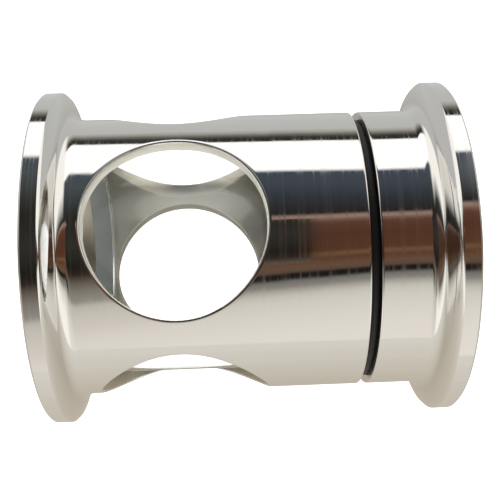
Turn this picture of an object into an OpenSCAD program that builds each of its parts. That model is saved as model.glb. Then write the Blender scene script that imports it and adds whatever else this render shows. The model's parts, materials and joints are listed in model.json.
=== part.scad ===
// In-line sight glass with clamp ferrule ends: a cage with windows, a glass tube between two flat
// gaskets, and an end ferrule that screws into the cage and clamps the glass. Millimetres.
// X is the flow axis, with the origin at the centre of the inlet ferrule's face. Z is up.

/* [Clamp ends] */
// Outside diameter of both ferrule rims
ferrule_d = 50.5; // [40:0.5:120]
// Thickness of the rim
rim_t = 2.85; // [2.4:0.05:5]
// Chamfer on the rim's corner at the clamp face
rim_face_chamfer = 0.3; // [0.1:0.05:0.6]
// Chamfer on the rim's corner at the tapered back
rim_back_chamfer = 0.45; // [0.1:0.05:0.8]
// Slope of the rim's back, which a clamp presses on, in degrees
rim_taper = 20; // [12:1:25]
// Height of the rim above the barrel
rim_lip = 4.15; // [3.5:0.05:6]
// Fillet between the rim's back and the barrel
rim_fillet = 2; // [0.5:0.1:2.5]
// Radius of the half-round gasket groove in each clamp face
face_groove_r = 1.6; // [0.8:0.1:2]
// Distance from the rim's edge to the middle of the gasket groove
face_groove_inset = 3.45; // [3:0.05:4.2]

/* [Cage] */
// Number of windows around the cage
window_n = 4; // [3:1:6]
// Width of metal left between two windows at the cage's bore
post_w = 1.25; // [0.8:0.05:4]
// Axial distance from the inlet gasket to the windows
window_lap_in = 0.6; // [0.5:0.05:4]
// Axial distance from the windows to the glass's outlet end
window_lap_out = 4; // [1.5:0.05:12]
// Thickness of the web between the inlet clamp face and the gasket's seat
seat_web = 3.5; // [3.3:0.1:8]
// Chamfer on the edges at both sides of the joint
joint_chamfer = 0.25; // [0.1:0.05:0.5]

/* [Thread] */
// Pitch of the right-hand joint thread
pitch = 1.5; // [1.25:0.05:2]
// Thickness of the barrel's wall outside the thread
thread_wall = 1.5; // [1:0.05:4]
// Length of the screwed nose inside the cage
nose_l = 6.7; // [5:0.1:15]
// Radial clearance between the male crest and the female root
crest_gap = 0.2; // [0.1:0.05:0.3]
// Radial clearance between the female crest and the male root
root_gap = 0.25; // [0.15:0.05:0.35]
// Axial clearance on each flank
flank_gap = 0.1; // [0.06:0.01:0.15]
// Radial step from the glass's bore out to the female crest
thread_step = 0.45; // [0.2:0.05:1]
// Width of the run-out relief at the thread's inner end
relief_w = 1.2; // [0.9:0.1:2]

/* [End ferrule] */
// Length from the joint to the outlet clamp face
collar_l = 12.3; // [8:0.1:40]
// Chamfer on the nose's tip
nose_chamfer = 0.4; // [0.2:0.05:0.6]

/* [Glass and seals] */
// Wall thickness of the glass tube
glass_wall = 2.5; // [1.5:0.1:5]
// Radial clearance between the glass and the cage's bore
glass_gap = 0.3; // [0.15:0.05:0.6]
// Edge break on the glass tube's ground ends
glass_chamfer = 0.3; // [0.1:0.05:0.5]
// Thickness of each flat gasket
gasket_t = 2.95; // [1:0.05:4]
// Width of the joint groove that the seal ring fills when the joint is home
joint_gap = 1.3; // [0.8:0.05:3]
// Axial squeeze of the seal ring's cord in the joint groove
seal_squeeze = 0.2; // [0.05:0.05:0.4]

/* [Hidden] */
round_fn = 96;
arc_steps = 10;
thread_steps = 48;
flank_angle = 30;
// Engaged depth of the thread for each millimetre of pitch
depth_per_pitch = 0.433;
// Depth that a thread form reaches past the surface that it joins
thread_sink = 0.1;
// Turns over which the male thread rises from the nose, and its height where it starts
run_out_turns = 0.2;
start_share = 0.06;
// Axial margin from the male thread's ends to the nose's tip and to the joint
thread_margin = 0.9;
// Length of cutter that clears a surface
clear = 1;

// Radii, worked inwards from the rim
rim_r = ferrule_d / 2;
barrel_r = rim_r - rim_lip;
female_root_r = barrel_r - thread_wall;
male_crest_r = female_root_r - crest_gap;
female_crest_r = male_crest_r - depth_per_pitch * pitch;
male_root_r = female_crest_r - root_gap;
glass_bore_r = female_crest_r - thread_step;
glass_r = glass_bore_r - glass_gap;
bore_r = glass_r - glass_wall;
face_groove_mid_r = rim_r - face_groove_inset;
pitch_r = (male_crest_r + female_crest_r) / 2;
relief_r = female_root_r + thread_sink;
// The windows take the whole bore apart from the posts between them
window_r = glass_bore_r * sin(180 / window_n - asin(post_w / 2 / glass_bore_r));

// Places along the flow axis, in order from the inlet face
glass_x = seat_web + gasket_t;
window_x = glass_x + window_lap_in + window_r;
glass_end_x = window_x + window_r + window_lap_out;
nose_x = glass_end_x + gasket_t;
relief_x = nose_x - relief_w;
cage_end_x = nose_x + nose_l;
collar_x = cage_end_x + joint_gap;
outlet_x = collar_x + collar_l;

// Solid of revolution about the flow axis, from an outline of [radius, place along the axis]
module turned(outline) {
    rotate([0, 90, 0])
        rotate_extrude($fn = round_fn)
            polygon(outline);
}

module ring(inner_r, outer_r, start_x, length) {
    translate([start_x, 0, 0])
        rotate([0, 90, 0])
            difference() {
                cylinder(h = length, r = outer_r, $fn = round_fn);
                translate([0, 0, -clear])
                    cylinder(h = length + 2 * clear, r = inner_r, $fn = round_fn);
            }
}

function arc(mid, r, from, to) = [
    for (i = [0:arc_steps])
        let (a = from + (to - from) * i / arc_steps)
        mid + r * [cos(a), sin(a)]
];

// Outline of a clamp ferrule from its bore, across the face and the rim, to the barrel. The face lies
// at 0 and the barrel runs on from the last point.
function ferrule_outline() =
    let (
        back_r = rim_r - rim_back_chamfer,
        corner_x = rim_t + (back_r - barrel_r) * tan(rim_taper),
        // Half of the angle that the fillet turns through
        half_turn = (90 - rim_taper) / 2,
        fillet_mid = [barrel_r + rim_fillet, corner_x + rim_fillet * tan(half_turn)]
    )
    concat(
        [[bore_r, 0]],
        arc([face_groove_mid_r, 0], face_groove_r, 180, 0),
        [[rim_r - rim_face_chamfer, 0], [rim_r, rim_face_chamfer]],
        [[rim_r, rim_t - rim_back_chamfer], [back_r, rim_t]],
        arc(fillet_mid, rim_fillet, 270 - rim_taper, 180)
    );

// The same outline at the outlet end, from the barrel back to the bore
function outlet_outline() =
    let (points = ferrule_outline(), last = len(points) - 1)
    [for (i = [last:-1:0]) [points[i][0], outlet_x - points[i][1]]];

// Half-width of a thread form at a radius, from its half-width at the pitch radius
function half_width(mid_half, r) = mid_half + (pitch_r - r) * tan(flank_angle);

// A right-hand helical ridge. The profile's points are [offset along the axis, radius], foot first, and
// both threads count their turns from the nose's tip, so that they mesh.
module helix(profile, start_x, end_x, run_out) {
    rings = ceil((end_x - start_x) / pitch * thread_steps);
    sides = len(profile);
    foot_r = profile[0][1];
    first_turn = (start_x - nose_x) / pitch;
    // Share of the full height, which grows from both ends over the run-out turns
    function share(i) =
        run_out == 0 ? 1 : max(start_share, min(1, min(i, rings - i) / thread_steps / run_out));
    points = [
        for (i = [0:rings], p = profile)
            let (
                turn = first_turn + i / thread_steps,
                r = foot_r + (p[1] - foot_r) * share(i)
            )
            [nose_x + pitch * turn + p[0] * share(i), r * cos(360 * turn), r * sin(360 * turn)]
    ];
    walls = [
        for (i = [0:rings - 1], k = [0:sides - 1])
            let (a = i * sides + k, b = i * sides + (k + 1) % sides)
            each [[a, b, b + sides], [a, b + sides, a + sides]]
    ];
    start_cap = [for (k = [sides - 1:-1:0]) k];
    end_cap = [for (k = [0:sides - 1]) rings * sides + k];
    polyhedron(points, concat([start_cap], walls, [end_cap]), convexity = 8);
}

module male_thread() {
    mid_half = pitch / 4 - flank_gap / 2;
    foot_half = half_width(mid_half, male_root_r);
    crest_half = half_width(mid_half, male_crest_r);
    foot_r = male_root_r - thread_sink;
    profile = [
        [-foot_half, foot_r], [-crest_half, male_crest_r],
        [crest_half, male_crest_r], [foot_half, foot_r]
    ];
    helix(profile, nose_x + thread_margin, cage_end_x - thread_margin, run_out_turns);
}

// The space of the female thread, which starts in the relief and runs out through the cage's mouth
module female_thread_space() {
    mid_half = pitch / 4 + flank_gap / 2;
    foot_r = female_crest_r - thread_sink;
    foot_half = half_width(mid_half, foot_r);
    root_half = half_width(mid_half, female_root_r);
    profile = [
        [-foot_half, foot_r], [-root_half, female_root_r],
        [root_half, female_root_r], [foot_half, foot_r]
    ];
    helix(profile, nose_x - relief_w / 2 + thread_sink, cage_end_x + pitch, 0);
}

module windows() {
    for (k = [0:window_n - 1])
        translate([window_x, 0, 0])
            rotate([360 / window_n * k, 0, 0])
                cylinder(h = rim_r, r = window_r, $fn = round_fn);
}

module cage_body() {
    mouth_l = female_root_r - female_crest_r;
    barrel_end = [
        [barrel_r, cage_end_x - joint_chamfer],
        [barrel_r - joint_chamfer, cage_end_x]
    ];
    threaded_bore = [
        [female_root_r, cage_end_x],
        [female_crest_r, cage_end_x - mouth_l],
        [female_crest_r, nose_x],
        [relief_r, nose_x],
        [relief_r, relief_x]
    ];
    seat = [
        [glass_bore_r, relief_x],
        [glass_bore_r, seat_web],
        [bore_r, seat_web]
    ];
    color("gainsboro")
        difference() {
            turned(concat(ferrule_outline(), barrel_end, threaded_bore, seat));
            windows();
            female_thread_space();
        }
}

module end_ferrule() {
    nose = [
        [bore_r, nose_x],
        [male_root_r - nose_chamfer, nose_x],
        [male_root_r, nose_x + nose_chamfer]
    ];
    collar = [
        [male_root_r, collar_x],
        [barrel_r - joint_chamfer, collar_x],
        [barrel_r, collar_x + joint_chamfer]
    ];
    color("silver")
        union() {
            turned(concat(nose, collar, outlet_outline()));
            male_thread();
        }
}

module glass_tube() {
    color("lightblue", 0.5)
        turned([
            [bore_r, glass_x + glass_chamfer],
            [bore_r + glass_chamfer, glass_x],
            [glass_r - glass_chamfer, glass_x],
            [glass_r, glass_x + glass_chamfer],
            [glass_r, glass_end_x - glass_chamfer],
            [glass_r - glass_chamfer, glass_end_x],
            [bore_r + glass_chamfer, glass_end_x],
            [bore_r, glass_end_x - glass_chamfer]
        ]);
}

module inlet_gasket() {
    color("darkgray")
        ring(bore_r, glass_r, seat_web, gasket_t);
}

module outlet_gasket() {
    color("darkgray")
        ring(bore_r, glass_r, glass_end_x, gasket_t);
}

// Round cord on the nose's neck, squeezed flat between the cage and the collar
module joint_seal() {
    cord_r = (joint_gap + seal_squeeze) / 2;
    color("black")
        rotate([0, 90, 0])
            rotate_extrude($fn = round_fn)
                intersection() {
                    translate([male_root_r + cord_r, cage_end_x + joint_gap / 2])
                        circle(r = cord_r, $fn = round_fn);
                    translate([male_root_r, cage_end_x])
                        square([2 * cord_r, joint_gap]);
                }
}

cage_body();
end_ferrule();
glass_tube();
inlet_gasket();
outlet_gasket();
joint_seal();
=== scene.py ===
import json
import math

import bmesh
import bpy
from mathutils import Matrix, Vector


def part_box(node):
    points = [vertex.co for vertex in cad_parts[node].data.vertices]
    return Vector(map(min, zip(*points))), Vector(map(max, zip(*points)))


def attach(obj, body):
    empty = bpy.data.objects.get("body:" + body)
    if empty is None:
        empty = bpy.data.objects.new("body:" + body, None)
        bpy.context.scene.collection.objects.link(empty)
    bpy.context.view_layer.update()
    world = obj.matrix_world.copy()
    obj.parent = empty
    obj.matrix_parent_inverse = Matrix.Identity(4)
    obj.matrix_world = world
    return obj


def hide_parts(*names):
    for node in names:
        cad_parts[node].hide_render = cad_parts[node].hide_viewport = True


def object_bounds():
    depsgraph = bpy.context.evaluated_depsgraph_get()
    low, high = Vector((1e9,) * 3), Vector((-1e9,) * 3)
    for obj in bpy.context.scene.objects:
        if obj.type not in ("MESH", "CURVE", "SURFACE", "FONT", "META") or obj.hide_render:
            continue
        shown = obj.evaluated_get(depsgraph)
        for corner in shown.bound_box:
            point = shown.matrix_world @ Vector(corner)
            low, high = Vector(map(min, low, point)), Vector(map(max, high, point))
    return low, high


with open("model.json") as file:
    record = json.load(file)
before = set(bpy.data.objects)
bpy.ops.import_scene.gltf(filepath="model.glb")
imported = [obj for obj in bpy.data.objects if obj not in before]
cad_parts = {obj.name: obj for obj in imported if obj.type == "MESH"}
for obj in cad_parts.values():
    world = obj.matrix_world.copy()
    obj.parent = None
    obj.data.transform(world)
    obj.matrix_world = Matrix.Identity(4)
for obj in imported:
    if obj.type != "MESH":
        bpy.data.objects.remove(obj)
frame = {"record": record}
cad_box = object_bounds()
MM = 0.001


# --- Camera -------------------------------------------------------------------------------------
# A flat-lay product shot: the sight glass lies on its side with one window up, and the camera hangs
# almost straight above it on a short tele lens, leaning a little towards the viewer's side.
lowest, highest = Vector(cad_box[0]), Vector(cad_box[1])
middle = Vector(((lowest.x + highest.x) / 2, 0, 0))
camera_distance = 130.43 * MM
camera_lean, camera_yaw, camera_roll = math.radians(11.55), math.radians(1.54), math.radians(1.95)
camera_aside = Vector((0.40, 0.21, 0.0)) * MM
level = (
    Matrix.Rotation(camera_roll, 4, "Z")
    @ Matrix.Rotation(camera_yaw, 4, "Y")
    @ Matrix.Rotation(-camera_lean, 4, "X")
)
camera = bpy.data.objects.new("camera", bpy.data.cameras.new("camera"))
camera.data.lens = 59.72
camera.data.sensor_width = 36
camera.data.clip_start = 5 * MM
camera.matrix_world = (
    Matrix.Translation(middle)
    @ level.inverted()
    @ Matrix.Translation(camera_aside + Vector((0, 0, camera_distance)))
)
bpy.context.scene.collection.objects.link(camera)
bpy.context.scene.camera = camera


# --- Studio -------------------------------------------------------------------------------------
# A white acrylic table lit from below, so that it shows no shadow, and the room that polished steel
# mirrors: a white reflector behind, a dark ceiling, and warm brown wood above the outlet end.
def linear(hex_colour):
    """sRGB hex, such as "#c8c4be", to linear RGBA."""
    parts = [int(hex_colour[i:i + 2], 16) / 255 for i in (1, 3, 5)]
    return [c / 12.92 if c <= 0.04045 else ((c + 0.055) / 1.055) ** 2.4 for c in parts] + [1.0]


def add(tree, kind, inputs=None, **settings):
    """Adds a node. inputs maps a socket's name or number to a value, to a socket, or to a node whose
    first output feeds it."""
    node = tree.nodes.new(kind)
    for name, value in settings.items():
        setattr(node, name, value)
    for key, value in (inputs or {}).items():
        if isinstance(value, bpy.types.Node):
            value = value.outputs[0]
        if isinstance(value, bpy.types.NodeSocket):
            tree.links.new(value, node.inputs[key])
        else:
            node.inputs[key].default_value = value
    return node


def new_material(name):
    material = bpy.data.materials.new(name)
    material.use_nodes = True
    material.node_tree.nodes.clear()
    return material


# A slight warm tint, on the wood and on the bands that border the ceiling and the reflector
warm_light = (0.967, 0.938, 0.898, 1.0)


def lit_bands(bands, light=(1.0, 1.0, 1.0, 1.0)):
    """Bands of (degrees, sRGB hex) with their colours made linear, in a light's tint."""
    return [(degrees, [c * l for c, l in zip(linear(colour), light)]) for degrees, colour in bands]


# What steel mirrors, by the angle from straight up towards +Y in degrees, before the steel's own
# colour darkens it. The bands are the lit table's glare, a dark ceiling and a white reflector. Under
# the wood the glare doesn't reach as high as it does in the open.
glare_below_wood = lit_bands([
    (-115, "#dad6d1"), (-84, "#d6d2cd"), (-68, "#cfccc7"), (-57, "#c7c4be"),
    (-51.3, "#bab8b2"), (-46, "#96948c"), (-44, "#7f7974"), (-40, "#6f6f6c"),
])
open_glare = lit_bands([
    (-115, "#dad6d1"), (-84, "#d6d2cd"), (-68, "#d0ccc6"), (-57, "#c6c1bb"),
    (-47, "#bdb9b2"), (-42, "#b4b1a9"), (-38.5, "#8c8680"), (-31, "#77736d"),
    (-25.5, "#60584f"),
])
wood = lit_bands([
    (-38.6, "#5c5c5a"), (-37.6, "#141414"), (-33.6, "#1d1a18"), (-31.6, "#5a4a40"),
    (-27.5, "#624a3c"), (-22, "#573828"), (-18.8, "#6b533f"), (-16, "#533626"), (-1.5, "#4f3225"),
    (8, "#553a2f"), (10.7, "#6c5044"), (13.4, "#917c72"), (14.9, "#83736d"), (16.4, "#242021"),
    (30, "#2c3138"), (44.5, "#3b434d"),
], warm_light)
open_ceiling = lit_bands([
    (-19.5, "#2a211c"), (-14, "#1c1a17"), (-8, "#24231f"), (0, "#2b2a27"), (18, "#22211d"),
    (24, "#292b28"),
])
open_ceiling += lit_bands([(32, "#363b3d"), (44.5, "#444b50")], warm_light)
reflector = lit_bands([(55.6, "#3c4653")], warm_light)
reflector += lit_bands([(57.0, "#ffffff"), (89, "#ffffff"), (89.9, "#1f1f1c"), (95, "#32322e")])
reflector += lit_bands([(98.5, "#666763"), (102.5, "#9a9b98"), (107, "#b2b4b6")], warm_light)
ceiling_with_wood = glare_below_wood + wood + reflector
dark_ceiling = open_glare + open_ceiling + reflector

world = bpy.data.worlds.new("studio")
world.use_nodes = True
bpy.context.scene.world = world
room = world.node_tree
room.nodes.clear()
look = add(room, "ShaderNodeSeparateXYZ", {0: add(room, "ShaderNodeTexCoord").outputs["Generated"]})
angle = add(room, "ShaderNodeMath", {0: look.outputs["Y"], 1: look.outputs["Z"]}, operation="ARCTAN2")
# The bands aren't parallel to the flow axis: they fan out towards the inlet end. Past fan_stop they
# all lean alike, and past lean_limit they lean no further.
lean_limit = 0.25
fan_rate, fan_shift, fan_stop = 0.76, math.radians(-15), math.radians(38)
lean = add(room, "ShaderNodeClamp", {"Value": look.outputs["X"], "Min": -lean_limit, "Max": lean_limit})
low_angle = add(room, "ShaderNodeMath", {0: angle, 1: fan_stop}, operation="MINIMUM")
fan = add(room, "ShaderNodeMath", {0: low_angle, 1: fan_rate, 2: fan_shift}, operation="MULTIPLY_ADD")
fanned = add(room, "ShaderNodeMath", {0: lean, 1: fan, 2: angle}, operation="MULTIPLY_ADD")
turn = add(room, "ShaderNodeMath", {0: fanned, 1: 0.5 / math.pi, 2: 0.5}, operation="MULTIPLY_ADD")
halves = []
for bands in (dark_ceiling, ceiling_with_wood):
    half = add(room, "ShaderNodeValToRGB", {0: turn})
    while len(half.color_ramp.elements) < len(bands):
        half.color_ramp.elements.new(1.0)
    for stop, (degrees, colour) in zip(half.color_ramp.elements, bands):
        stop.position = (degrees + 180) / 360
        stop.color = colour
    halves.append(half)
# A dark box hangs under the wood where it begins
box_middle, box_half, box_reach = math.radians(-6), math.radians(18.5), 0.134
in_box = add(room, "ShaderNodeMath", {0: fanned, 1: box_middle, 2: box_half}, operation="COMPARE")
past_box = add(
    room, "ShaderNodeMath", {0: in_box, 1: -box_reach, 2: look.outputs["X"]}, operation="MULTIPLY_ADD"
)
towards_outlet = add(
    room, "ShaderNodeMapRange", {"Value": past_box, "From Min": -0.036, "From Max": -0.028}
)
# More of the wood hangs past the inlet end
past_inlet = add(
    room, "ShaderNodeMapRange",
    {"Value": look.outputs["X"], "From Min": -0.4, "From Max": -0.6, "To Max": 0.6},
)
wooden = add(room, "ShaderNodeMath", {0: towards_outlet, 1: past_inlet}, operation="MAXIMUM")
overhead = add(
    room, "ShaderNodeMix", {"Factor": wooden, 6: halves[0], 7: halves[1]}, data_type="RGBA"
).outputs[2]
# Past both ends the room is bright, but for the dark strip straight overhead
strip_middle, wood_spread = math.radians(-8.5), math.radians(23)
strip_edge, strip_fade_end = math.radians(27), math.radians(53)
sideways = add(room, "ShaderNodeMath", {0: look.outputs["X"]}, operation="ABSOLUTE")
far_side = add(room, "ShaderNodeMapRange", {"Value": sideways, "From Min": 0.27, "From Max": 0.45})
strip_angle = add(room, "ShaderNodeMath", {0: angle, 1: strip_middle}, operation="SUBTRACT")
off_strip = add(room, "ShaderNodeMath", {0: strip_angle}, operation="ABSOLUTE")
off_wood = add(
    room, "ShaderNodeMath", {0: past_inlet, 1: -wood_spread, 2: off_strip}, operation="MULTIPLY_ADD"
)
beside_strip = add(
    room, "ShaderNodeMapRange", {"Value": off_wood, "From Min": strip_edge, "From Max": strip_fade_end}
)
bright = add(room, "ShaderNodeMath", {0: far_side, 1: beside_strip}, operation="MULTIPLY")
seen = add(
    room, "ShaderNodeMix", {"Factor": bright, 6: overhead, 7: linear("#eeece8")}, data_type="RGBA"
)
# The steel takes about a third of the light away, so the mirrored room is that much brighter
mirror_gain = 1.6
mirrored = add(room, "ShaderNodeBackground", {"Color": seen.outputs[2], "Strength": mirror_gain})
plain = add(room, "ShaderNodeBackground", {"Color": linear("#ffffff"), "Strength": 1.0})
# A ray through clear glass counts as glossy too, but it sees the plain room
ray = add(room, "ShaderNodeLightPath")
is_mirrored = add(
    room, "ShaderNodeMath",
    {0: ray.outputs["Is Glossy Ray"], 1: ray.outputs["Is Transmission Ray"]},
    operation="SUBTRACT", use_clamp=True,
)
both = add(room, "ShaderNodeMixShader", {0: is_mirrored, 1: plain, 2: mirrored})
add(room, "ShaderNodeOutputWorld", {"Surface": both})

# In metres. The table ends close behind the object, so that steel mirrors the room past its edge.
table_half, table_back = 1.5, 0.145
glow_near, glow_far = -0.3, 0.1
table_strength = 1.6
table_mesh = bpy.data.meshes.new("table")
table_mesh.from_pydata(
    [
        (middle.x + x * table_half, y, lowest.z)
        for x, y in ((-1, -table_half), (1, -table_half), (1, table_back), (-1, table_back))
    ],
    [],
    [(0, 1, 2, 3)],
)
table = bpy.data.objects.new("table", table_mesh)
bpy.context.scene.collection.objects.link(table)
white_acrylic = new_material("lit_white_acrylic")
tree = white_acrylic.node_tree
table_place = add(tree, "ShaderNodeSeparateXYZ", {0: add(tree, "ShaderNodeTexCoord").outputs["Object"]})
glow_place = add(
    tree, "ShaderNodeMapRange",
    {"Value": table_place.outputs["Y"], "From Min": glow_near, "From Max": glow_far},
)
# Painted shadow: for mirrored rays the table's glow is painted darker near the object, where its own body
# would shade it
painted_table_shade = add(tree, "ShaderNodeValToRGB", {0: glow_place})
painted_shade_stops = [
    (0.0, "#fbf7ef"), (0.5, "#f2ede4"), (0.62, "#e6dfd2"), (0.66, "#d8d0c2"), (0.7, "#c0b7a8"),
    (0.73, "#968d7e"), (0.8, "#978f82"), (0.84, "#bdbab4"), (0.88, "#d6d7d6"), (1.0, "#d6d7d7"),
]
while len(painted_table_shade.color_ramp.elements) < len(painted_shade_stops):
    painted_table_shade.color_ramp.elements.new(1.0)
for stop, (place, colour) in zip(painted_table_shade.color_ramp.elements, painted_shade_stops):
    stop.position = place
    stop.color = linear(colour)
table_ray = add(tree, "ShaderNodeLightPath")
table_mirrored = add(
    tree, "ShaderNodeMath",
    {0: table_ray.outputs["Is Glossy Ray"], 1: table_ray.outputs["Is Transmission Ray"]},
    operation="SUBTRACT", use_clamp=True,
)
# Mirrored rays see the table with the painted shadow, while the camera sees it evenly lit
dim = add(tree, "ShaderNodeEmission", {"Color": painted_table_shade, "Strength": 1.0})
lit = add(tree, "ShaderNodeEmission", {"Color": linear("#ffffff"), "Strength": table_strength})
table_glow = add(tree, "ShaderNodeMixShader", {0: table_mirrored, 1: lit, 2: dim})
add(tree, "ShaderNodeOutputMaterial", {"Surface": table_glow})
table_mesh.materials.append(white_acrylic)
bpy.context.scene.view_settings.view_transform = "Standard"


# --- Cage body ----------------------------------------------------------------------------------
# Turned from one stainless bar: the inlet clamp ferrule, the barrel and the threaded mouth. Four round
# windows are bored crosswise, their edges are deburred soft, and the whole is polished to a mirror.
def steel(name, colour, line_mm, line_depth_mm, wave_depth_mm, roughness):
    """316L stainless steel. Turning leaves fine lines around the axis, which differ in gloss and fray a
    reflection's edges, and buffing leaves shallow waves."""
    material = new_material(name)
    tree = material.node_tree
    place = add(tree, "ShaderNodeTexCoord").outputs["Object"]
    xyz = add(tree, "ShaderNodeSeparateXYZ", {0: place})
    across = add(tree, "ShaderNodeCombineXYZ", {"Y": xyz.outputs["Y"], "Z": xyz.outputs["Z"]})
    radius = add(tree, "ShaderNodeVectorMath", {0: across}, operation="LENGTH").outputs["Value"]
    around = add(tree, "ShaderNodeVectorMath", {0: across}, operation="NORMALIZE")
    # The lines follow circles on a flat face as well as on a cylinder
    along = add(tree, "ShaderNodeMath", {0: xyz.outputs["X"], 1: radius}, operation="ADD")
    line_count = add(tree, "ShaderNodeMath", {0: along, 1: 1 / (line_mm * MM)}, operation="MULTIPLY")
    line_axis = add(tree, "ShaderNodeCombineXYZ", {"X": line_count})
    line_place = add(
        tree, "ShaderNodeVectorMath", {0: around, 1: (1.5, 1.5, 1.5), 2: line_axis},
        operation="MULTIPLY_ADD",
    )
    lines = add(tree, "ShaderNodeTexNoise", {"Vector": line_place, "Scale": 1.0, "Detail": 3.0})
    waves = add(tree, "ShaderNodeTexNoise", {"Vector": place, "Scale": 1 / (5 * MM), "Detail": 1.0})
    gloss = add(
        tree, "ShaderNodeMapRange",
        {"Value": lines, "From Min": 0.45, "From Max": 0.7, "To Min": roughness[0], "To Max": roughness[1]},
    )
    line_height = add(tree, "ShaderNodeMath", {0: lines, 1: line_depth_mm}, operation="MULTIPLY")
    height = add(
        tree, "ShaderNodeMath", {0: waves, 1: wave_depth_mm, 2: line_height}, operation="MULTIPLY_ADD"
    )
    bump = add(tree, "ShaderNodeBump", {"Height": height, "Strength": 1.0, "Distance": MM})
    shader = add(
        tree, "ShaderNodeBsdfPrincipled",
        {"Base Color": linear(colour), "Metallic": 1.0, "Roughness": gloss, "Normal": bump},
    )
    add(tree, "ShaderNodeOutputMaterial", {"Surface": shader})
    return material


polished_steel = steel(
    "polished_316_stainless", "#d5d3cf", line_mm=0.22, line_depth_mm=0.0005, wave_depth_mm=0.012,
    roughness=(0.04, 0.15),
)
# The bore behind the glass is left as it was turned, a dull grey
bored_steel = steel(
    "bored_316_stainless", "#bfbaab", line_mm=0.15, line_depth_mm=0.004, wave_depth_mm=0.0,
    roughness=(0.32, 0.48),
)

inlet_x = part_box("cage_body")[0].x
cage_end_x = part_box("cage_body")[1].x
rim_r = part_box("cage_body")[1].z
seat_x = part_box("inlet_gasket")[0].x
nose_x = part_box("end_ferrule")[0].x
glass_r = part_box("glass_tube")[1].z
bore = next(mount for mount in frame["record"]["mounts"] if mount["kind"] == "bore")
bore_r = bore["dims"]["r_mm"] * MM
rim_height, barrel_wall, glass_gap = 4.15 * MM, 1.5 * MM, 0.3 * MM
thread_overlap, male_crest_gap, female_crest_gap = 0.6495 * MM, 0.2 * MM, 0.25 * MM
barrel_r = rim_r - rim_height
glass_bore_r = glass_r + glass_gap
female_root_r = barrel_r - barrel_wall
male_crest_r = female_root_r - male_crest_gap
female_crest_r = male_crest_r - thread_overlap
male_root_r = female_crest_r - female_crest_gap
joint_chamfer = 0.25 * MM
relief_r = female_root_r + 0.1 * MM
relief_w = 1.2 * MM
turn_steps = 192
weld_gap = 0.002 * MM
skin_depth = 0.01 * MM


def arc(mid, radius, start, end, steps):
    """Points of an arc in an outline, with its angles in degrees."""
    turns = [math.radians(start + (end - start) * i / steps) for i in range(steps + 1)]
    return [(mid[0] + radius * math.cos(a), mid[1] + radius * math.sin(a)) for a in turns]


def soft_corner(r, x, toward_x):
    """A turned corner at radius r and place x, broken to the joint's chamfer size and buffed round.
    It runs from the cylinder to the face. toward_x is 1 where the face looks along +X."""
    mid = (r - joint_chamfer, x - toward_x * joint_chamfer)
    hold = 0.06 * MM
    return (
        [(r, mid[1] - toward_x * hold)]
        + arc(mid, joint_chamfer, 0, 90 * toward_x, 5)
        + [(mid[0] - hold, x)]
    )


def ferrule_outline():
    """A clamp ferrule from its bore to the barrel, as (radius, distance behind the clamp face)."""
    rim_t, taper = 2.85 * MM, 20
    face_chamfer, back_chamfer = 0.3 * MM, 0.45 * MM
    groove_r, groove_inset, fillet = 1.6 * MM, 3.45 * MM, 2 * MM
    back_r = rim_r - back_chamfer
    corner_x = rim_t + (back_r - barrel_r) * math.tan(math.radians(taper))
    fillet_mid = (barrel_r + fillet, corner_x + fillet * math.tan(math.radians(90 - taper) / 2))
    return (
        [(bore_r, 0)]
        + arc((rim_r - groove_inset, 0), groove_r, 180, 0, 16)
        + [(rim_r - face_chamfer, 0), (rim_r, face_chamfer)]
        + [(rim_r, rim_t - back_chamfer), (back_r, rim_t)]
        + arc(fillet_mid, fillet, 270 - taper, 180, 16)
    )


def turned_band(bm, outline, angles):
    """Turns an outline of (radius, place along X) through the angles, which start at +Z."""
    rings = [
        [bm.verts.new((x, r * math.sin(a), r * math.cos(a))) for a in angles] for r, x in outline
    ]
    for low, high in zip(rings, rings[1:]):
        for i in range(len(angles) - 1):
            bm.faces.new((low[i], low[i + 1], high[i + 1], high[i]))


window_n = 4
window_x = 19.541 * MM
window_r = 12.491 * MM
window_round = 0.45 * MM
window_inner_round = 0.15 * MM
round_steps = 5
# Above 1, the rings of faces crowd towards the window's edge
ring_crowding = 1.4


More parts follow.
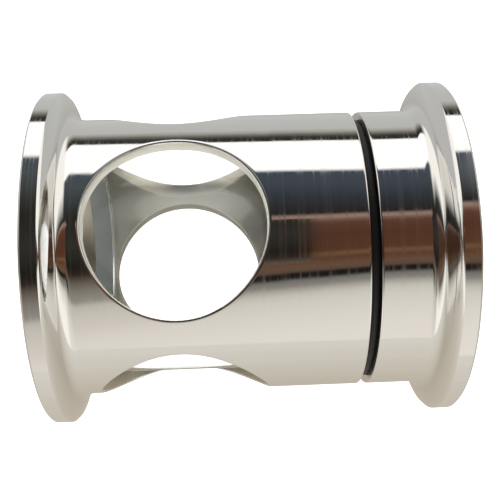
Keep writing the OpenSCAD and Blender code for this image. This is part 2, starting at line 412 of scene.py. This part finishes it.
def window_sector(before, behind):
    """One sector of the cage with a window in its middle. The outlines before and behind the window
    run from the barrel's bore to its outside, and from its outside to its bore."""
    bm = bmesh.new()
    half = math.pi / window_n
    steps = turn_steps // window_n
    angles = [half * (2 * i / steps - 1) for i in range(steps + 1)]
    turned_band(bm, before, angles)
    turned_band(bm, behind, angles)
    start_x, end_x = before[-1][1], behind[0][1]
    places = [start_x + (end_x - start_x) * i / steps for i in range(steps + 1)]
    border = (
        [(x, -half) for x in places[:-1]]
        + [(end_x, a) for a in angles[:-1]]
        + [(x, half) for x in places[:0:-1]]
        + [(start_x, a) for a in angles[:0:-1]]
    )

    def patch(r, edge_r, rings=10):
        """Rings of vertices on a cylinder of radius r, from the sector's border in to a round edge."""
        for k in range(rings + 1):
            share = 1 - (1 - k / rings) ** ring_crowding
            ring = []
            for x, a in border:
                phi = math.atan2(a * r, x - window_x)
                edge_x = window_x + edge_r * math.cos(phi)
                edge_a = math.asin(edge_r * math.sin(phi) / r)
                px, pa = x + (edge_x - x) * share, a + (edge_a - a) * share
                ring.append(bm.verts.new((px, r * math.sin(pa), r * math.cos(pa))))
            yield ring

    def rounding(r, size):
        """Rings that round the edge where the window's wall meets a cylinder. size is below zero
        where the cylinder is the bore."""
        for k in range(1, round_steps + 1):
            a = math.radians(90 * k / round_steps)
            reach = window_r + abs(size) * (1 - math.sin(a))
            ring = []
            for x, at in border:
                phi = math.atan2(at * r, x - window_x)
                y = reach * math.sin(phi)
                z = math.sqrt(r * r - y * y) - size * (1 - math.cos(a))
                ring.append(bm.verts.new((window_x + reach * math.cos(phi), y, z)))
            yield ring

    outer = list(patch(barrel_r, window_r + window_round)) + list(rounding(barrel_r, window_round))
    inner = list(patch(glass_bore_r, window_r + window_inner_round))
    inner += list(rounding(glass_bore_r, -window_inner_round))
    for rings in (outer, inner, [outer[-1], inner[-1]]):
        for low, high in zip(rings, rings[1:]):
            for i in range(len(border)):
                k = (i + 1) % len(border)
                bm.faces.new((low[i], low[k], high[k], high[i]))
    mesh = bpy.data.meshes.new("window_sector")
    bm.to_mesh(mesh)
    bm.free()
    return mesh


def geometry_tree(name, *inputs):
    """A geometry nodes tree with named inputs of (name, socket type), and its input node."""
    tree = bpy.data.node_groups.new(name, "GeometryNodeTree")
    tree.interface.new_socket("Geometry", in_out="INPUT", socket_type="NodeSocketGeometry")
    for socket, kind in inputs:
        tree.interface.new_socket(socket, in_out="INPUT", socket_type="NodeSocket" + kind)
    tree.interface.new_socket("Geometry", in_out="OUTPUT", socket_type="NodeSocketGeometry")
    return tree, add(tree, "NodeGroupInput").outputs


def grow(tree, mesh, values):
    """The mesh that the tree makes from a mesh, with the tree's inputs set by their names."""
    seed = bpy.data.objects.new("seed", mesh)
    bpy.context.scene.collection.objects.link(seed)
    modifier = seed.modifiers.new("grow", "NODES")
    modifier.node_group = tree
    for item in tree.interface.items_tree:
        if item.in_out == "INPUT" and item.name in values:
            modifier[item.identifier] = values[item.name]
    view = bpy.context.evaluated_depsgraph_get()
    grown = bpy.data.meshes.new_from_object(seed.evaluated_get(view))
    seed.modifiers.remove(modifier)
    bpy.data.objects.remove(seed)
    return grown


def finish_piece(name, parts, body, node, materials, is_second=None, sharp=30):
    """Joins closed meshes into one piece that stands for a CAD node, with its faces turned outwards.
    is_second picks the faces that take the second material, by their radius and place along X."""
    bm = bmesh.new()
    for part in parts:
        bm.from_mesh(part)
    bmesh.ops.recalc_face_normals(bm, faces=bm.faces[:])
    mesh = bpy.data.meshes.new(name)
    bm.to_mesh(mesh)
    bm.free()
    mesh.materials.clear()
    for material in materials:
        mesh.materials.append(material)
    for face in mesh.polygons:
        corners = [mesh.vertices[v].co for v in face.vertices]
        r = sum(math.hypot(co.y, co.z) for co in corners) / len(corners)
        face.material_index = 1 if is_second and is_second(r, face.center.x) else 0
    mesh.shade_smooth()
    mesh.set_sharp_from_angle(angle=math.radians(sharp))
    piece = bpy.data.objects.new(name, mesh)
    bpy.context.scene.collection.objects.link(piece)
    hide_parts(node)
    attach(piece, body)
    return piece


repeat_tree, given = geometry_tree("repeat_about_axis", ("Count", "Int"), ("Material", "Material"))
spots = add(repeat_tree, "GeometryNodePoints", {"Count": given["Count"]})
step = add(repeat_tree, "ShaderNodeMath", {0: 2 * math.pi, 1: given["Count"]}, operation="DIVIDE")
index = add(repeat_tree, "GeometryNodeInputIndex")
spot_angle = add(repeat_tree, "ShaderNodeMath", {0: index, 1: step}, operation="MULTIPLY")
spot_vector = add(repeat_tree, "ShaderNodeCombineXYZ", {"X": spot_angle})
spot_turn = add(repeat_tree, "FunctionNodeEulerToRotation", {0: spot_vector})
copies = add(
    repeat_tree, "GeometryNodeInstanceOnPoints",
    {"Points": spots, "Instance": given["Geometry"], "Rotation": spot_turn},
)
real_copies = add(repeat_tree, "GeometryNodeRealizeInstances", {0: copies})
welded = add(repeat_tree, "GeometryNodeMergeByDistance", {0: real_copies, "Distance": weld_gap})
clad = add(repeat_tree, "GeometryNodeSetMaterial", {0: welded, "Material": given["Material"]})
add(repeat_tree, "NodeGroupOutput", {0: clad})

# The helical ridge of a thread: a trapezoid swept along a spiral that starts on the core's surface
thread_tree, given = geometry_tree(
    "thread_ridge", ("Foot Radius", "Float"), ("Depth", "Float"), ("Foot Width", "Float"),
    ("Crest Width", "Float"), ("Pitch", "Float"), ("Start X", "Float"), ("Phase X", "Float"),
    ("Turns", "Float"), ("Run Out", "Float"), ("Material", "Material"),
)
length = add(
    thread_tree, "ShaderNodeMath", {0: given["Pitch"], 1: given["Turns"]}, operation="MULTIPLY"
)
spiral = add(
    thread_tree, "GeometryNodeCurveSpiral",
    {
        "Resolution": turn_steps // 2, "Rotations": given["Turns"], "Height": length,
        "Start Radius": given["Foot Radius"], "End Radius": given["Foot Radius"],
    },
)
upright = add(thread_tree, "GeometryNodeSetCurveNormal", {0: spiral}, mode="Z_UP")
factor = add(thread_tree, "GeometryNodeSplineParameter").outputs["Factor"]
from_end = add(thread_tree, "ShaderNodeMath", {0: 1.0, 1: factor}, operation="SUBTRACT")
nearest = add(thread_tree, "ShaderNodeMath", {0: factor, 1: from_end}, operation="MINIMUM")
turns_in = add(thread_tree, "ShaderNodeMath", {0: nearest, 1: given["Turns"]}, operation="MULTIPLY")
rise = add(
    thread_tree, "ShaderNodeMapRange", {"Value": turns_in, "From Max": given["Run Out"], "To Min": 0.06}
)
tapered = add(thread_tree, "GeometryNodeSetCurveRadius", {0: upright, "Radius": rise})
form = add(
    thread_tree, "GeometryNodeCurvePrimitiveQuadrilateral",
    {
        "Bottom Width": given["Foot Width"], "Top Width": given["Crest Width"],
        "Height": given["Depth"], "Offset": 0.0,
    },
    mode="TRAPEZOID",
)
half_depth = add(thread_tree, "ShaderNodeMath", {0: given["Depth"], 1: 0.5}, operation="MULTIPLY")
rise_vector = add(thread_tree, "ShaderNodeCombineXYZ", {"Y": half_depth})
stood = add(thread_tree, "GeometryNodeTransform", {0: form, "Translation": rise_vector})
swept = add(
    thread_tree, "GeometryNodeCurveToMesh",
    {"Curve": tapered, "Profile Curve": stood, "Fill Caps": True},
)
# Lays the spiral's axis from +Z along +X, then turns it about X so that its start is in phase
laid = add(
    thread_tree, "GeometryNodeTransform", {0: swept, "Rotation": (math.pi / 2, 0, math.pi / 2)}
)
lead = add(
    thread_tree, "ShaderNodeMath", {0: given["Start X"], 1: given["Phase X"]}, operation="SUBTRACT"
)
lead_turns = add(thread_tree, "ShaderNodeMath", {0: lead, 1: given["Pitch"]}, operation="DIVIDE")
lead_angle = add(thread_tree, "ShaderNodeMath", {0: lead_turns, 1: 2 * math.pi}, operation="MULTIPLY")
start_vector = add(thread_tree, "ShaderNodeCombineXYZ", {"X": given["Start X"]})
lead_vector = add(thread_tree, "ShaderNodeCombineXYZ", {"X": lead_angle})
placed = add(
    thread_tree, "GeometryNodeTransform",
    {0: laid, "Translation": start_vector, "Rotation": lead_vector},
)
real_ridge = add(thread_tree, "GeometryNodeRealizeInstances", {0: placed})
clad = add(thread_tree, "GeometryNodeSetMaterial", {0: real_ridge, "Material": given["Material"]})
add(thread_tree, "NodeGroupOutput", {0: clad})

# One turn of the joint moves the end by one pitch
pitch = 2 * math.pi / frame["record"]["behaviour"]["couplings"][0]["ratio"]
flank_slope = math.tan(math.radians(30))
thread_sink = 0.1 * MM
flank_gap = 0.1 * MM
mid_width = pitch / 2 - flank_gap


def thread_ridge(foot_r, crest_r, start_x, end_x, phase_x, run_out):
    """A right-hand thread's ridge, whose foot reaches a little into the core. It rises and falls over
    run_out turns at its two ends."""
    height = abs(crest_r - foot_r)
    outwards = 1 if crest_r > foot_r else -1
    sizes = {
        "Foot Radius": foot_r - outwards * thread_sink,
        "Depth": outwards * (height + thread_sink),
        "Foot Width": mid_width + (height + 2 * thread_sink) * flank_slope,
        "Crest Width": mid_width - height * flank_slope,
        "Pitch": pitch,
        "Start X": start_x,
        "Phase X": phase_x,
        "Turns": (end_x - start_x) / pitch,
        "Run Out": run_out,
        "Material": polished_steel,
    }
    return grow(thread_tree, bpy.data.meshes.new("ridge"), sizes)


ferrule = ferrule_outline()
barrel_start = ferrule[-1][1]
before = (
    [(glass_bore_r, barrel_start), (glass_bore_r, seat_x), (bore_r, seat_x)]
    + [(r, inlet_x + x) for r, x in ferrule]
)
behind = [(barrel_r, 2 * window_x - barrel_start)] + soft_corner(barrel_r, cage_end_x, 1) + [
    (female_root_r, cage_end_x), (female_root_r, nose_x),
    (relief_r, nose_x), (relief_r, nose_x - relief_w), (glass_bore_r, nose_x - relief_w),
    (glass_bore_r, 2 * window_x - barrel_start),
]
cage_mesh = grow(
    repeat_tree, window_sector(before, behind), {"Count": window_n, "Material": polished_steel}
)
# The female ridge lies between two turns of the male thread, half a pitch on
female_start_x, female_end_x = nose_x + 0.3 * MM, cage_end_x - 0.5 * MM
female_thread = thread_ridge(
    female_root_r, female_crest_r, female_start_x, female_end_x, nose_x + pitch / 2, run_out=0.3
)
finish_piece(
    "cage_body_polished", [cage_mesh, female_thread], "cage", "cage_body",
    [polished_steel, bored_steel], is_second=lambda r, x: x > inlet_x and r < relief_r + skin_depth,
)


# --- Inlet gasket -------------------------------------------------------------------------------
# A flat ring cut from grey silicone rubber sheet. It lies against the cage's inner shoulder and
# seals the glass tube's end; its cut edges are a little soft.
silicone = new_material("grey_silicone_sheet")
tree = silicone.node_tree
grain = add(
    tree, "ShaderNodeTexNoise",
    {"Vector": add(tree, "ShaderNodeTexCoord").outputs["Object"], "Scale": 1 / (0.4 * MM), "Detail": 4.0},
)
grain_gloss = add(tree, "ShaderNodeMapRange", {"Value": grain, "To Min": 0.3, "To Max": 0.5})
grain_bump = add(tree, "ShaderNodeBump", {"Height": grain, "Strength": 0.4, "Distance": 0.02 * MM})
shader = add(
    tree, "ShaderNodeBsdfPrincipled",
    {
        "Base Color": linear("#868a86"), "Roughness": grain_gloss, "IOR": 1.41, "Normal": grain_bump,
        "Subsurface Weight": 0.2, "Subsurface Radius": (1.0, 1.0, 1.0), "Subsurface Scale": 0.6 * MM,
    },
)
add(tree, "ShaderNodeOutputMaterial", {"Surface": shader})


def turned_mesh(name, outline):
    """A closed ring turned from a closed outline."""
    bm = bmesh.new()
    angles = [2 * math.pi * i / turn_steps for i in range(turn_steps + 1)]
    turned_band(bm, outline + outline[:1], angles)
    bmesh.ops.remove_doubles(bm, verts=bm.verts[:], dist=weld_gap)
    mesh = bpy.data.meshes.new(name)
    bm.to_mesh(mesh)
    bm.free()
    return mesh


def gasket(node, body):
    """A flat gasket with soft cut edges, in its CAD node's place."""
    low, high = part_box(node)
    soft = 0.12 * MM
    outline = (
        arc((bore_r + soft, low.x + soft), soft, 180, 270, 3)
        + arc((glass_r - soft, low.x + soft), soft, 270, 360, 3)
        + arc((glass_r - soft, high.x - soft), soft, 0, 90, 3)
        + arc((bore_r + soft, high.x - soft), soft, 90, 180, 3)
    )
    mesh = turned_mesh(node, outline)
    return finish_piece(node + "_silicone", [mesh], body, node, [silicone], sharp=60)


gasket("inlet_gasket", "cage")


# --- Glass tube ---------------------------------------------------------------------------------
# Drawn borosilicate tube, cut to length. Its ends are ground flat with a small edge break, so they
# are frosted, and its wall is clear and fire-polished.
clear_glass = new_material("clear_borosilicate")
tree = clear_glass.node_tree
shader = add(
    tree, "ShaderNodeBsdfPrincipled",
    {"Base Color": linear("#feffff"), "Roughness": 0.0, "IOR": 1.473, "Transmission Weight": 1.0},
)
add(tree, "ShaderNodeOutputMaterial", {"Surface": shader})

ground_glass = new_material("ground_borosilicate")
tree = ground_glass.node_tree
grit = add(
    tree, "ShaderNodeTexNoise",
    {"Vector": add(tree, "ShaderNodeTexCoord").outputs["Object"], "Scale": 1 / (0.15 * MM), "Detail": 2.0},
)
grit_gloss = add(tree, "ShaderNodeMapRange", {"Value": grit, "To Min": 0.35, "To Max": 0.6})
shader = add(
    tree, "ShaderNodeBsdfPrincipled",
    {"Base Color": linear("#eef2f2"), "Roughness": grit_gloss, "IOR": 1.473, "Transmission Weight": 1.0},
)
add(tree, "ShaderNodeOutputMaterial", {"Surface": shader})

glass_low, glass_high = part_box("glass_tube")
edge_break = 0.3 * MM
glass_outline = [
    (bore_r, glass_low.x + edge_break), (bore_r + edge_break, glass_low.x),
    (glass_r - edge_break, glass_low.x), (glass_r, glass_low.x + edge_break),
    (glass_r, glass_high.x - edge_break), (glass_r - edge_break, glass_high.x),
    (bore_r + edge_break, glass_high.x), (bore_r, glass_high.x - edge_break),
]
finish_piece(
    "glass_tube_borosilicate", [turned_mesh("glass_tube", glass_outline)], "cage",
    "glass_tube", [clear_glass, ground_glass],
    is_second=lambda r, x: not glass_low.x + edge_break < x < glass_high.x - edge_break,
)


# --- Outlet gasket ------------------------------------------------------------------------------
# The same silicone ring at the glass's other end. The ferrule's nose presses on it, and it backs off
# along the axis with the nose but doesn't turn.
gasket("outlet_gasket", "travel")


# --- Joint seal ---------------------------------------------------------------------------------
# A round cord ring of black EPDM rubber on the neck between the cage and the collar, squeezed flat
# on both sides when the joint is home. Moulded, so it is matt with a fine, even skin.
epdm = new_material("black_epdm_rubber")
tree = epdm.node_tree
skin = add(
    tree, "ShaderNodeTexNoise",
    {"Vector": add(tree, "ShaderNodeTexCoord").outputs["Object"], "Scale": 1 / (0.25 * MM), "Detail": 5.0},
)
skin_gloss = add(tree, "ShaderNodeMapRange", {"Value": skin, "To Min": 0.45, "To Max": 0.7})
skin_bump = add(tree, "ShaderNodeBump", {"Height": skin, "Strength": 0.5, "Distance": 0.02 * MM})
shader = add(
    tree, "ShaderNodeBsdfPrincipled",
    {"Base Color": linear("#0b0b0b"), "Roughness": skin_gloss, "IOR": 1.5, "Normal": skin_bump},
)
add(tree, "ShaderNodeOutputMaterial", {"Surface": shader})

seal_low, seal_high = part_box("joint_seal")
cord_r = (seal_high.z - male_root_r) / 2
flat_angle = math.degrees(math.asin((seal_high.x - seal_low.x) / 2 / cord_r))
cord_mid = (male_root_r + cord_r, (seal_low.x + seal_high.x) / 2)
seal_outline = (
    arc(cord_mid, cord_r, -flat_angle, flat_angle, 12)
    + arc(cord_mid, cord_r, 180 - flat_angle, 180 + flat_angle, 12)
)
finish_piece(
    "joint_seal_epdm", [turned_mesh("joint_seal", seal_outline)], "screwed_end",
    "joint_seal", [epdm],
)


# --- End ferrule --------------------------------------------------------------------------------
# The screwed-in outlet end, turned from one bar: a threaded nose that clamps the glass, a collar
# that stops against the cage, and the outlet clamp ferrule. Polished like the cage.
outlet_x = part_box("end_ferrule")[1].x
collar_x = seal_high.x
nose_chamfer = 0.4 * MM
end_outline = (
    [(bore_r, nose_x), (male_root_r - nose_chamfer, nose_x), (male_root_r, nose_x + nose_chamfer)]
    + [(male_root_r, collar_x)]
    + soft_corner(barrel_r, collar_x, -1)[::-1]
    + [(r, outlet_x - x) for r, x in reversed(ferrule)]
)
thread_margin = 0.9 * MM
male_thread = thread_ridge(
    male_root_r, male_crest_r, nose_x + thread_margin, cage_end_x - thread_margin, nose_x,
    run_out=0.2,
)
finish_piece(
    "end_ferrule_polished", [turned_mesh("end_ferrule", end_outline), male_thread], "screwed_end",
    "end_ferrule", [polished_steel, bored_steel],
    is_second=lambda r, x: r < bore_r + skin_depth,
)
